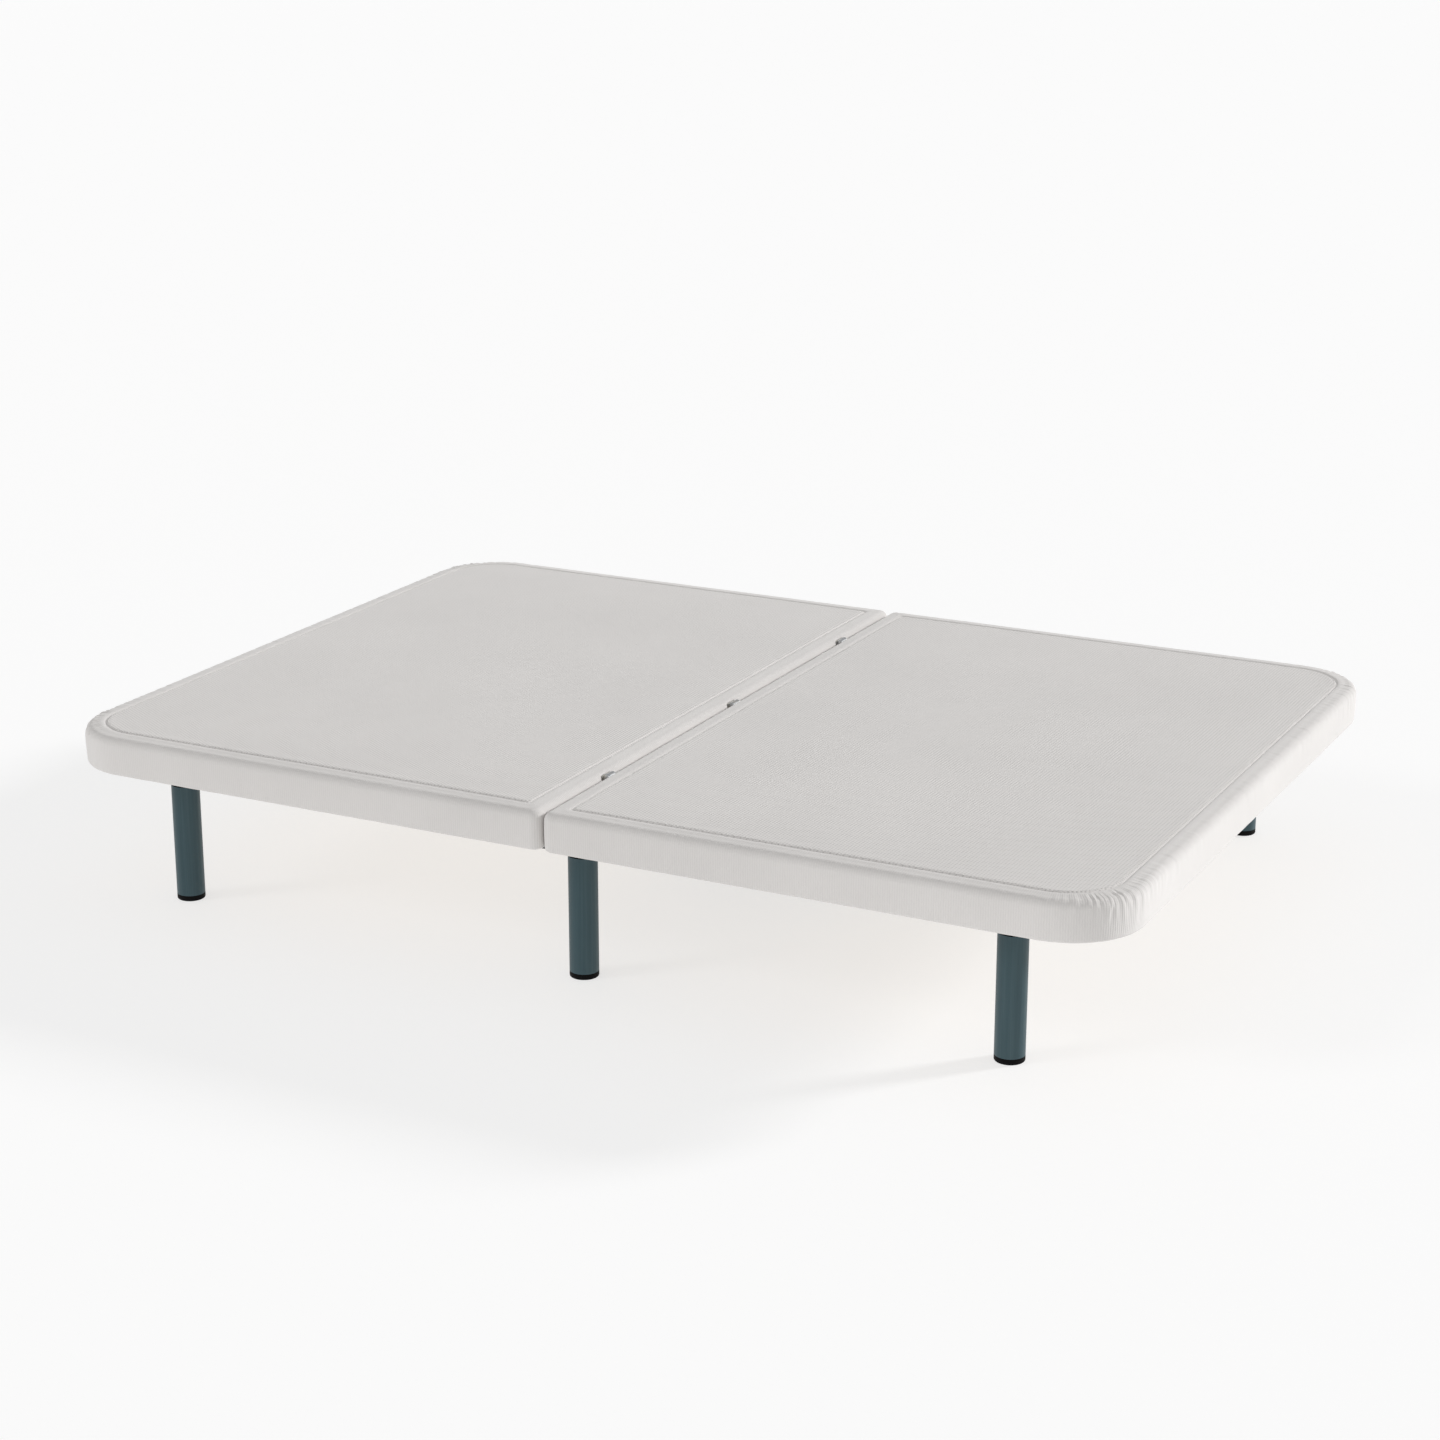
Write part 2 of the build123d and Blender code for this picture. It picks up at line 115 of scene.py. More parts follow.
def soft_sky(tree):
    """Even sky that brightens towards the horizon, where it meets the top of the sweep."""
    back = tree.nodes["Background"]
    back.inputs["Color"].default_value = (1.0, 1.0, 1.0, 1)
    direction = node(tree, "ShaderNodeTexCoord").outputs["Generated"]
    height = node(tree, "ShaderNodeSeparateXYZ", {0: direction}).outputs["Z"]
    level = node(tree, "ShaderNodeMapRange",
                 {"Value": maths(tree, "ABSOLUTE", height), "From Min": 0.12, "From Max": 0.27,
                  "To Min": 1.0, "To Max": SKY}, interpolation_type="SMOOTHSTEP")
    tree.links.new(level.outputs["Result"], back.inputs["Strength"])


def make_stage():
    scene = bpy.context.scene
    scene.view_settings.view_transform = "Standard"
    world = bpy.data.worlds.new("studio")
    world.use_nodes = True
    soft_sky(world.node_tree)
    scene.world = world
    floor = bpy.data.objects.new("floor", studio_sweep())
    scene.collection.objects.link(floor)
    mat, shader, _ = new_material("floor", (0.34, 0.34, 0.34), 0.8)
    shader.inputs["Specular IOR Level"].default_value = 0.1
    shader.inputs["Emission Color"].default_value = (1.0, 1.0, 1.0, 1)
    shader.inputs["Emission Strength"].default_value = 0.678
    floor.data.materials.append(mat)
    sun_light("key", (0.85, -0.80, 0.45), 2.32, 9)
    sun_light("fill", (-0.72, 0.74, 0.62), 0.55, 16)


# ------------------------------------------------------------------ node helpers

def new_material(name, colour, rough, metallic=0.0):
    mat = bpy.data.materials.new(name)
    mat.use_nodes = True
    tree = mat.node_tree
    shader = tree.nodes["Principled BSDF"]
    shader.inputs["Base Color"].default_value = (*colour, 1)
    shader.inputs["Roughness"].default_value = rough
    shader.inputs["Metallic"].default_value = metallic
    return mat, shader, tree


def node(tree, kind, inputs=None, **settings):
    made = tree.nodes.new(kind)
    for key, value in settings.items():
        setattr(made, key, value)
    for key, value in (inputs or {}).items():
        if isinstance(value, bpy.types.NodeSocket):
            tree.links.new(value, made.inputs[key])
        else:
            made.inputs[key].default_value = value
    return made


def maths(tree, operation, a, b=None):
    inputs = {0: a}
    if b is not None:
        inputs[1] = b
    return node(tree, "ShaderNodeMath", inputs, operation=operation).outputs[0]


def coordinates(tree, scale=(1, 1, 1), rotation=(0, 0, 0)):
    """Object coordinates in metres, stretched."""
    coord = node(tree, "ShaderNodeTexCoord").outputs["Object"]
    inputs = {"Vector": coord, "Scale": scale, "Rotation": rotation}
    return node(tree, "ShaderNodeMapping", inputs).outputs[0]


def noise_of(tree, vector, scale, detail=3.0, rough=0.55, distortion=0.0):
    return node(tree, "ShaderNodeTexNoise", {"Vector": vector, "Scale": scale, "Detail": detail,
                                             "Roughness": rough, "Distortion": distortion}).outputs["Fac"]


def ramp(tree, factor, stops):
    made = node(tree, "ShaderNodeValToRGB", {"Fac": factor})
    elements = made.color_ramp.elements
    elements[0].position, elements[0].color = stops[0][0], (*stops[0][1], 1)
    elements[1].position, elements[1].color = stops[-1][0], (*stops[-1][1], 1)
    for position, colour in stops[1:-1]:
        elements.new(position).color = (*colour, 1)
    return made.outputs["Color"]


def remap(tree, value, low, high):
    """0..1 to low..high."""
    inputs = {"Value": value, "To Min": low, "To Max": high}
    return node(tree, "ShaderNodeMapRange", inputs).outputs["Result"]


def bump(tree, shader, height, strength, distance):
    made = node(tree, "ShaderNodeBump", {"Height": height, "Strength": strength, "Distance": distance})
    tree.links.new(made.outputs["Normal"], shader.inputs["Normal"])


def shade(colour, factor):
    return tuple(min(1.0, c * factor) for c in colour)


# ------------------------------------------------------------------ materials

FABRIC = (0.74, 0.718, 0.70)
RIB_PITCH = 0.0039
STITCH_PITCH = 0.0026


def rib_knit():
    """Off-white knit of the side band: upright ribs, small stitches along them."""
    mat, shader, tree = new_material("rib_knit", FABRIC, 0.9)
    uv = node(tree, "ShaderNodeUVMap", uv_map="knit").outputs["UV"]
    split = node(tree, "ShaderNodeSeparateXYZ", {0: uv})
    along, up = split.outputs[0], split.outputs[1]
    rib = maths(tree, "SINE", maths(tree, "MULTIPLY", along, 2 * math.pi / RIB_PITCH))
    rib = maths(tree, "MULTIPLY_ADD", rib, 0.5)
    rib.node.inputs[2].default_value = 0.5
    lean = maths(tree, "ABSOLUTE", maths(tree, "SINE", maths(tree, "MULTIPLY", along, math.pi / RIB_PITCH)))
    climb = maths(tree, "MULTIPLY", up, 2 * math.pi / STITCH_PITCH)
    climb = maths(tree, "ADD", climb, maths(tree, "MULTIPLY", lean, 2.4))
    stitch = maths(tree, "MULTIPLY_ADD", maths(tree, "SINE", climb), 0.5)
    stitch.node.inputs[2].default_value = 0.5
    fuzz = noise_of(tree, coordinates(tree), 900, 2)
    height = maths(tree, "ADD", rib, maths(tree, "MULTIPLY", stitch, 0.35))
    height = maths(tree, "ADD", height, maths(tree, "MULTIPLY", fuzz, 0.5))
    bump(tree, shader, height, 0.45, 0.0005)
    cloud = noise_of(tree, coordinates(tree), 5, 3)
    # Colour darkens in the rib grooves and lightens on the rib crests: painted shade and painted highlight
    # on the ribs, mixed with random cloudy tone.
    tone = maths(tree, "ADD", maths(tree, "MULTIPLY", rib, 0.25), maths(tree, "MULTIPLY", cloud, 0.75))
    colour = ramp(tree, tone, [(0.15, shade(FABRIC, 0.93)), (0.5, FABRIC), (0.9, shade(FABRIC, 1.06))])
    tree.links.new(colour, shader.inputs["Base Color"])
    shader.inputs["Sheen Weight"].default_value = 0.25
    shader.inputs["Sheen Roughness"].default_value = 0.5
    shader.inputs["Specular IOR Level"].default_value = 0.2
    return mat


def spacer_mesh():
    """Breathable three-dimensional mesh of the top: rows of small round openings."""
    mat, shader, tree = new_material("spacer_mesh", FABRIC, 0.85)
    coord = node(tree, "ShaderNodeTexCoord").outputs["Object"]
    pitch = 0.0062
    split = node(tree, "ShaderNodeSeparateXYZ", {0: coord})
    row = maths(tree, "MULTIPLY", split.outputs[1], 1 / (pitch * 0.866))
    column = maths(tree, "MULTIPLY", split.outputs[0], 1 / pitch)
    column = maths(tree, "ADD", column, maths(tree, "MULTIPLY", row, 0.5))
    cell = node(tree, "ShaderNodeCombineXYZ", {0: column, 1: row, 2: 0.0}).outputs[0]
    hole = node(tree, "ShaderNodeTexVoronoi", {"Vector": cell, "Scale": 1.0, "Randomness": 0.0},
                voronoi_dimensions="2D").outputs["Distance"]
    opening = node(tree, "ShaderNodeMapRange", {"Value": hole, "From Min": 0.16, "From Max": 0.34},
                   interpolation_type="SMOOTHSTEP").outputs["Result"]
    fuzz = noise_of(tree, coordinates(tree), 1100, 2)
    bump(tree, shader, maths(tree, "ADD", opening, maths(tree, "MULTIPLY", fuzz, 0.35)), 0.6, 0.0007)
    cloud = noise_of(tree, coordinates(tree), 4, 3)
    # Colour darkens towards the middle of each round opening: painted shade in the holes, mixed with random
    # cloudy tone.
    tone = maths(tree, "ADD", maths(tree, "MULTIPLY", opening, 0.6), maths(tree, "MULTIPLY", cloud, 0.4))
    colour = ramp(tree, tone, [(0.1, shade(FABRIC, 0.80)), (0.55, shade(FABRIC, 0.99)),
                               (0.95, shade(FABRIC, 1.07))])
    tree.links.new(colour, shader.inputs["Base Color"])
    shader.inputs["Sheen Weight"].default_value = 0.2
    shader.inputs["Specular IOR Level"].default_value = 0.2
    return mat


def leg_paint():
    """Blue-grey satin paint over drawn tube: faint upright streaks."""
    mat, shader, tree = new_material("leg_paint", (0.037, 0.076, 0.090), 0.42)
    streak = noise_of(tree, coordinates(tree, (1, 1, 0.012)), 330, 4, 0.6)
    broad = noise_of(tree, coordinates(tree, (1, 1, 0.05)), 60, 2)
    tone = maths(tree, "ADD", maths(tree, "MULTIPLY", streak, 0.55), maths(tree, "MULTIPLY", broad, 0.45))
    colour = ramp(tree, tone, [(0.3, (0.026, 0.060, 0.073)), (0.5, (0.036, 0.075, 0.089)),
                               (0.7, (0.052, 0.094, 0.108))])
    tree.links.new(colour, shader.inputs["Base Color"])
    tree.links.new(remap(tree, tone, 0.34, 0.52), shader.inputs["Roughness"])
    bump(tree, shader, streak, 0.12, 0.0002)
    shader.inputs["Specular IOR Level"].default_value = 0.36
    return mat


def powder_coat():
    mat, shader, tree = new_material("powder_coat", (0.055, 0.058, 0.062), 0.5)
    peel = noise_of(tree, coordinates(tree), 420, 3)
    cloud = noise_of(tree, coordinates(tree), 9, 3)
    tree.links.new(ramp(tree, cloud, [(0.3, (0.045, 0.048, 0.052)), (0.7, (0.066, 0.069, 0.074))]),
                   shader.inputs["Base Color"])
    tree.links.new(remap(tree, peel, 0.38, 0.6), shader.inputs["Roughness"])
    bump(tree, shader, peel, 0.25, 0.0004)
    return mat


def zinc():
    mat, shader, tree = new_material("zinc", (0.60, 0.62, 0.64), 0.36, 1.0)
    cloud = noise_of(tree, coordinates(tree), 120, 4)
    colour = ramp(tree, cloud, [(0.3, (0.52, 0.54, 0.56)), (0.55, (0.63, 0.64, 0.65)),
                                (0.8, (0.66, 0.63, 0.55))])
    tree.links.new(colour, shader.inputs["Base Color"])
    fine = noise_of(tree, coordinates(tree), 700, 3)
    tree.links.new(remap(tree, fine, 0.26, 0.5), shader.inputs["Roughness"])
    return mat


def turned_steel():
    mat, shader, tree = new_material("turned_steel", (0.55, 0.55, 0.56), 0.3, 1.0)
    groove = noise_of(tree, coordinates(tree, (0.02, 1, 0.02)), 1500, 3)
    tree.links.new(remap(tree, groove, 0.2, 0.45), shader.inputs["Roughness"])
    bump(tree, shader, groove, 0.15, 0.0002)
    return mat


def pine(along):
    """Planed softwood, grain along X or Y."""
    mat, shader, tree = new_material("pine_" + along, (0.64, 0.46, 0.27), 0.6)
    stretch = (0.05, 1, 1) if along == "x" else (1, 0.05, 1)
    vector = coordinates(tree, stretch)
    warp = noise_of(tree, vector, 9, 2)
    inputs = {"Vector": vector, "Scale": 38.0, "Distortion": 5.0, "Detail": 3.0, "Detail Scale": 1.6}
    ring = node(tree, "ShaderNodeTexWave", inputs, wave_type="BANDS", bands_direction="Z").outputs["Fac"]
    fine = (0.01, 1, 1) if along == "x" else (1, 0.01, 1)
    fibre = noise_of(tree, coordinates(tree, fine), 900, 3)
    tone = maths(tree, "ADD", maths(tree, "MULTIPLY", ring, 0.55), maths(tree, "MULTIPLY", warp, 0.45))
    colour = ramp(tree, tone, [(0.1, (0.72, 0.55, 0.35)), (0.55, (0.66, 0.48, 0.28)),
                               (0.9, (0.50, 0.32, 0.16))])
    tree.links.new(colour, shader.inputs["Base Color"])
    bump(tree, shader, maths(tree, "ADD", fibre, maths(tree, "MULTIPLY", ring, 0.4)), 0.25, 0.0003)
    return mat


def plywood():
    """Birch ply face veneer, grain along X: narrow growth figure, fine pores, slow change of tone."""
    mat, shader, tree = new_material("plywood", (0.68, 0.53, 0.36), 0.62)
    hills = noise_of(tree, coordinates(tree, (0.17, 1, 1)), 2.6, 1.6, 0.42)
    figure = maths(tree, "SINE", maths(tree, "MULTIPLY", hills, 2 * math.pi * 15))
    figure = maths(tree, "MULTIPLY_ADD", figure, 0.5)
    figure.node.inputs[2].default_value = 0.5
    fibre = noise_of(tree, coordinates(tree, (0.012, 1, 1)), 620, 4, 0.65)
    pores = noise_of(tree, coordinates(tree, (0.05, 1, 1)), 1500, 2)
    cloud = noise_of(tree, coordinates(tree, (0.4, 1, 1)), 3.5, 3)
    tone = maths(tree, "ADD", maths(tree, "MULTIPLY", figure, 0.20), maths(tree, "MULTIPLY", fibre, 0.46))
    tone = maths(tree, "ADD", tone, maths(tree, "MULTIPLY", cloud, 0.34))
    colour = ramp(tree, tone, [(0.22, (0.76, 0.63, 0.46)), (0.5, (0.69, 0.55, 0.38)),
                               (0.8, (0.55, 0.40, 0.25))])
    tree.links.new(colour, shader.inputs["Base Color"])
    bump(tree, shader, maths(tree, "ADD", fibre, maths(tree, "MULTIPLY", pores, 0.6)), 0.3, 0.0003)
    return mat


def foam():
    mat, shader, tree = new_material("foam", (0.84, 0.80, 0.66), 0.95)
    inputs = {"Vector": coordinates(tree), "Scale": 700.0}
    pores = node(tree, "ShaderNodeTexVoronoi", inputs).outputs["Distance"]
    # Colour darkens towards the middle of each pore, where the bump makes a pit: painted shade in the pore
    # hollows.
    tree.links.new(ramp(tree, pores, [(0.0, (0.62, 0.58, 0.45)), (0.4, (0.86, 0.82, 0.69))]),
                   shader.inputs["Base Color"])
    bump(tree, shader, pores, 0.5, 0.0006)
    return mat


def moulded(name, colour, rough, grain=900.0, specular=0.5):
    """Moulded plastic with a fine spark-eroded grain."""
    mat, shader, tree = new_material(name, colour, rough)
    shader.inputs["Specular IOR Level"].default_value = specular
    fine = noise_of(tree, coordinates(tree), grain, 3)
    cloud = noise_of(tree, coordinates(tree), 14, 3)
    tree.links.new(ramp(tree, cloud, [(0.3, shade(colour, 0.85)), (0.7, shade(colour, 1.2))]),
                   shader.inputs["Base Color"])
    tree.links.new(remap(tree, fine, rough - 0.08, rough + 0.1), shader.inputs["Roughness"])
    bump(tree, shader, fine, 0.25, 0.0003)
    return mat


def circuit_board():
    mat, shader, tree = new_material("circuit_board", (0.01, 0.12, 0.05), 0.35)
    inputs = {"Vector": coordinates(tree), "Scale": 90.0, "Mortar Size": 0.06,
              "Color1": (0.01, 0.12, 0.05, 1), "Color2": (0.012, 0.15, 0.06, 1),
              "Mortar": (0.03, 0.24, 0.11, 1)}
    track = node(tree, "ShaderNodeTexBrick", inputs).outputs["Color"]
    tree.links.new(track, shader.inputs["Base Color"])
    return mat


def dress_nodes():
    paint, coat, plated = leg_paint(), powder_coat(), zinc()
    pine_x, pine_y = pine("x"), pine("y")
    black = moulded("black_plastic", (0.010, 0.010, 0.011), 0.45)
    glide = moulded("glide", (0.0035, 0.0035, 0.0036), 0.6, 700.0, 0.08)
    white = moulded("white_plastic", (0.72, 0.72, 0.68), 0.4)
    rubber = moulded("rubber", (0.005, 0.005, 0.005), 0.7, 500.0, 0.15)
    looks = {"leg_paint": paint, "frame_paint": coat, "zinc": plated, "board": plywood(), "foam": foam(),
             "spindle_steel": turned_steel(), "motor_steel": turned_steel(), "black_plastic": black,
             "white_plastic": white, "rubber_pad": rubber, "board_green": circuit_board(),
             "softwood": pine_y}
    for part in frame["record"]["subparts"]:
        name, slot = part["node"], part["material_slot"]
        look = looks.get(slot)
        if look is None:
            continue
        if slot == "softwood" and ("_rail_end" in name or "_rail_hinge_side" in name):
            look = pine_x
        if name in ("leg_glides", "leg_studs"):
            look = glide
        mesh = NODES[name].data
        for i in range(len(mesh.materials)):
            mesh.materials[i] = look
    return looks


# ------------------------------------------------------------------ upholstery

SPLIT_GAP = 6 * MM
CORNER_R = 125 * MM
SPLIT_R = 16 * MM
SPLIT_MIN_R = 8 * MM
EDGE_R = 14 * MM
SEAM_AT = 34 * MM
STEP = 3.6 * MM
END_STEP = 2.0 * MM
FINE_STEP = 1.5 * MM
HUB_CLEAR = 9.6 * MM
HINGE_DROP = 9 * MM
OUTLINE_START = 0.2
KNUCKLE_HALF = 19 * MM
FADE_DEPTH = 44 * MM
TOP_DEPTHS = (16.5, 19, 21.5, 24, 26.5, 29, 30.5, 31.5, 32.5, 33.3, 34, 34.7, 35.5, 36.5, 38,
              40, 42.5, 46, 50, 55, 61, 68, 76, 86)


class Half:
    """Plan of one half of the deck: samples along its outline, and what is inside."""

    def __init__(self, cover, side):
        low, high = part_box(cover)
        self.side = side
        self.top, self.bottom = high.z, low.z
        half_w = high.x
        near, far = SPLIT_GAP / 2, max(abs(low.y), abs(high.y))
        c0, c1 = (half_w - SPLIT_R, near + SPLIT_R), (half_w - CORNER_R, far - CORNER_R)
        c2, c3 = (-half_w + CORNER_R, far - CORNER_R), (-half_w + SPLIT_R, near + SPLIT_R)
        points, normals, radii = [], [], []

        def line(a, b, normal, pitch=STEP):
            count = max(2, round(math.dist(a, b) / pitch))
            for i in range(count):
                t = i / count
                points.append((a[0] + (b[0] - a[0]) * t, a[1] + (b[1] - a[1]) * t))
                normals.append(normal)
                radii.append(math.inf)

        def arc(centre, radius, start):
            count = max(14, round(radius * math.pi / 2 / FINE_STEP))
            for i in range(count):
                angle = math.radians(start + 90 * i / count)
                normal = (math.cos(angle), math.sin(angle))
                points.append((centre[0] + radius * normal[0], centre[1] + radius * normal[1]))
                normals.append(normal)
                radii.append(radius)

        line((OUTLINE_START, near), (c0[0], near), (0, -1))
        arc(c0, SPLIT_R, -90)
        line((half_w, c0[1]), (half_w, c1[1]), (1, 0))
        arc(c1, CORNER_R, 0)
        line((c1[0], far), (c2[0], far), (0, 1), END_STEP)
        arc(c2, CORNER_R, 90)
        line((-half_w, c2[1]), (-half_w, c3[1]), (-1, 0))
        arc(c3, SPLIT_R, 180)
        line((c3[0], near), (OUTLINE_START, near), (0, -1))
        self.points = np.array(points)
        self.normals = np.array(normals)
        self.radii = np.array(radii)
        step = np.roll(self.points, -1, 0) - self.points
        self.arc = np.concatenate([[0], np.cumsum(np.hypot(*step.T))])
        self.centre = np.array([0.0, (near + far) / 2])
        self.near, self.far, self.half_w = near, far, half_w

    def inset(self, depth):
        """Outline moved inwards; the corners beside the slit keep a small radius."""
        moved = self.points - self.normals * depth
        radius = max(SPLIT_R - depth, SPLIT_MIN_R)
        side, near = self.half_w - depth - radius, self.near + depth + radius
        arcs = self.radii == SPLIT_R
        sign = np.sign(self.points[arcs, 0])
        moved[arcs, 0] = sign * side + radius * self.normals[arcs, 0]
        moved[arcs, 1] = near + radius * self.normals[arcs, 1]
        slit = self.normals[:, 1] < -0.999
        moved[slit, 0] = np.clip(moved[slit, 0], -side, side)
        flank = np.abs(self.normals[:, 0]) > 0.999
        moved[flank, 1] = np.maximum(moved[flank, 1], near)
        return moved

    def along(self, moved, depth):
        """Length along the outline at each moved sample, so samples that meet agree."""
        slid = moved - (self.points - self.normals * depth)
        tangent = np.column_stack([-self.normals[:, 1], self.normals[:, 0]])
        return np.clip(self.arc[:-1] + (slid * tangent).sum(1), 0, self.arc[-1])

    def weight_at(self, weight, s):
        return np.interp(s, self.arc[:-1], weight)

    def corner_weight(self, reach):
        """1 at the outer corners, falling to 0 at reach along the outline."""
        gap = []
        for sx in (-1, 1):
            c = np.array([sx * (self.half_w - CORNER_R * 0.29), self.far - CORNER_R * 0.29])
            gap.append(np.hypot(*(self.points - c).T))
        return np.clip(1 - np.min(gap, 0) / reach, 0, 1)

    def split_weight(self, reach):
        """1 at the two corners beside the slit."""
        gap = []
        for sx in (-1, 1):
            c = np.array([sx * self.half_w, self.near])
            gap.append(np.hypot(*(self.points - c).T))
        return np.clip(1 - np.min(gap, 0) / reach, 0, 1)


def outer_profile(half):
    """(inset, height) from the edge of the fold round to the start of the flat top."""
    z0, z1 = half.bottom, half.top
    low_r = 4 * MM
    profile = [(d * MM, z0) for d in (22, 20, 17, 14, 11, 8, 6)]
    for i in range(1, 7):
        a = math.radians(90 * i / 6)
        profile.append((low_r * (1 - math.sin(a)), z0 + low_r * (1 - math.cos(a))))
    count = 15
    for i in range(1, count):
        profile.append((0.0, z0 + low_r + (z1 - EDGE_R - z0 - low_r) * i / count))
    for i in range(0, 11):
        a = math.radians(90 * i / 10)
        profile.append((EDGE_R * (1 - math.cos(a)), z1 - EDGE_R + EDGE_R * math.sin(a)))
    return profile


def make_pleats(half, corner, split):
    """Small folds where the fabric is pulled over the edge: many at the corners, few along the sides."""
    rng = random.Random(31 if half.side > 0 else 32)
    pleats = []
    s = 0.0
    while s < half.arc[-1]:
        i = min(int(np.searchsorted(half.arc, s)), len(half.points) - 1)
        end = max(0.0, half.normals[i][1])
        slit = half.normals[i][1] < -0.999
        pull = min(1.0, corner[i] ** 1.2 * (0.35 + 0.65 * end) + 0.30 * end + 0.35 * split[i])
        if not slit:
            depth = (0.12 + 1.05 * pull) * rng.uniform(0.45, 1.25) * MM
            width = (2.2 + 2.6 * rng.random() + 3.0 * (1 - pull)) * MM
            reach = rng.uniform(0.22, 0.5) + 0.35 * pull * rng.random()
            lean = rng.uniform(-1.0, 1.0) * (4 + 12 * pull) * MM
            pleats.append((s, width, depth, reach, lean, rng.choice((-1, 1))))
        s += rng.uniform(0.55, 1.45) * (8 + 62 * (1 - pull) ** 2) * MM
    return pleats


def pleat_relief(pleats, starts, s, height, fade):
    """Grooves with a raised lip on one side, deepest at the upper edge."""
    total = 0.0
    first = bisect.bisect_left(starts, s - 34 * MM)
    for k in range(first, len(pleats)):
        start, width, depth, reach, lean, hand = pleats[k]
        if start > s + 34 * MM:
            break
        fall = (1 - height) / reach
        if fall > 1.6:
            continue
        u = hand * (s - start - lean * (1 - height)) / (width * (1 + 0.7 * min(fall, 1.5)))
        if abs(u) > 3.2:
            continue
        shape = 0.62 * math.exp(-((u - 1.35) / 0.75) ** 2) - math.exp(-u * u)
        total += depth * shape * math.exp(-fall * fall * 1.4)
    return total * fade


def crimp(value):
    """Narrow creases between broad folds."""
    return 1 - abs(math.sin(value)) ** 0.55


def relief(half, s, d, z, corner, end):
    """How far the fabric stands out from the plain shape, in metres, at one point."""
    seed = 11.3 if half.side > 0 else 47.9
    height = min((z - half.bottom) / (half.top - half.bottom), 1.0)
    fade = min(max((FADE_DEPTH - d) / (20 * MM), 0), 1)
    if fade == 0:
        return 0.0
    bulge = 1.5 * MM * math.sin(math.pi * min(max(height, 0), 1)) ** 0.8 if d < EDGE_R else 0.0
    slow = 0.55 * MM * noise.noise(Vector((s * 5.0 + seed, z * 9.0, 3.1)))
    slow += 0.30 * MM * noise.noise(Vector((s * 17.0 + seed, z * 22.0, 9.7)))
    band = math.exp(-((d - 12 * MM) / (12 * MM)) ** 2) if d > 4 * MM else 1.0
    upper = min(max((height - 0.25) / 0.75, 0), 1) ** 1.4
    wander = 1.6 * noise.noise(Vector((s * 21.0 + seed, 0.3, 1.0)))
    gather = crimp(s / (7.5 * MM) * math.pi / 2 + wander * 2.6) - 0.4
    creases = -gather * (0.08 + 0.42 * corner ** 1.3 + 0.16 * end) * upper * band * MM
    pleats = pleat_relief(half.pleats, half.pleat_starts, s, height, band)
    lower = min(max((0.22 - height) / 0.22, 0), 1)
    puckers = -0.35 * MM * lower * (crimp(s / (25 * MM) * math.pi / 2 + wander) - 0.4)
    return (bulge + slow * (1 - 0.4 * upper) + creases + pleats + puckers) * fade


def top_relief(half, x, y, d):
    """Crown of the padded top, its border seam and slow unevenness."""
    crown = 4.2 * MM * min(max(d - EDGE_R, 0) / (12 * MM), 1)
    for gap in (half.half_w - abs(x), y - half.near, half.far - y):
        crown *= 1 - math.exp(-max(gap - EDGE_R, 0) / (55 * MM))
    seam = -1.7 * MM * math.exp(-((d - SEAM_AT) / (2.2 * MM)) ** 2)
    swell = 0.7 * MM * math.exp(-((d - SEAM_AT + 9 * MM) / (6 * MM)) ** 2)
    swell += 0.5 * MM * math.exp(-((d - SEAM_AT - 9 * MM) / (6 * MM)) ** 2)
    uneven = 0.7 * MM * noise.noise(Vector((x * 4.1, y * 4.1, 2.0 + half.side)))
    calm = min(max((d - SEAM_AT) / (80 * MM), 0), 1)
    return crown + seam + swell + uneven * calm


def clear_hinges(point, hinge_z):
    """Fabric is cut back and turned in round each hinge knuckle."""
    x, y, z = point
    for hx in HINGE_X:
        gap = abs(x - hx)
        if gap < KNUCKLE_HALF:
            ry, rz = y, z - hinge_z
            r = math.hypot(ry, rz)
            want = HUB_CLEAR * min(1.0, (KNUCKLE_HALF - gap) / (4 * MM))
            if 1e-6 < r < want:
                return x, ry * want / r, hinge_z + rz * want / r
    return point


def hinge_places():
    """Middle of each hinge pin along X."""
    xs = sorted(v.co.x for v in NODES["hinge_pins"].data.vertices)
    groups = [[xs[0]]]
    for x in xs[1:]:
        if x - groups[-1][-1] > 0.1:
            groups.append([x])
        else:
            groups[-1].append(x)
    return [(g[0] + g[-1]) / 2 for g in groups]


HINGE_X = hinge_places()


class Rings:
    """Closed rings of points round one half, with the length of fabric run through up to each."""

    def __init__(self):
        self.rings, self.run = [], []
        self.travelled, self.previous = 0.0, None

    def put(self, ring, depth_and_z):
        self.rings.append(ring)
        if self.previous is not None:
            self.travelled += math.dist(self.previous, depth_and_z)
        self.previous = depth_and_z
        self.run.append(self.travelled)


def put_side(half, shell, corner, ends):
    """From the fold under the deck, up the side band and over the rounded edge."""
    profile = outer_profile(half)
    for level, (d, z) in enumerate(profile):
        base = half.inset(d)
        where = half.along(base, d)
        c_at = half.weight_at(corner, where)
        before = profile[max(level - 1, 0)]
        after = profile[min(level + 1, len(profile) - 1)]
        out, up = after[1] - before[1], after[0] - before[0]
        length = math.hypot(out, up) or 1
        n_out, n_up = out / length, up / length
        ring = []
        for i in range(len(base)):
            lift = relief(half, where[i], d, z, c_at[i], ends[i]) if z > half.bottom + 0.5 * MM else 0.0
            x = base[i, 0] + half.normals[i, 0] * lift * n_out
            y = base[i, 1] + half.normals[i, 1] * lift * n_out
            top_lift = top_relief(half, x, y, d) * max(n_up, 0) if d > 9 * MM else 0.0
            ring.append((x, y, z + lift * n_up + top_lift))
        shell.put(ring, (d, z))


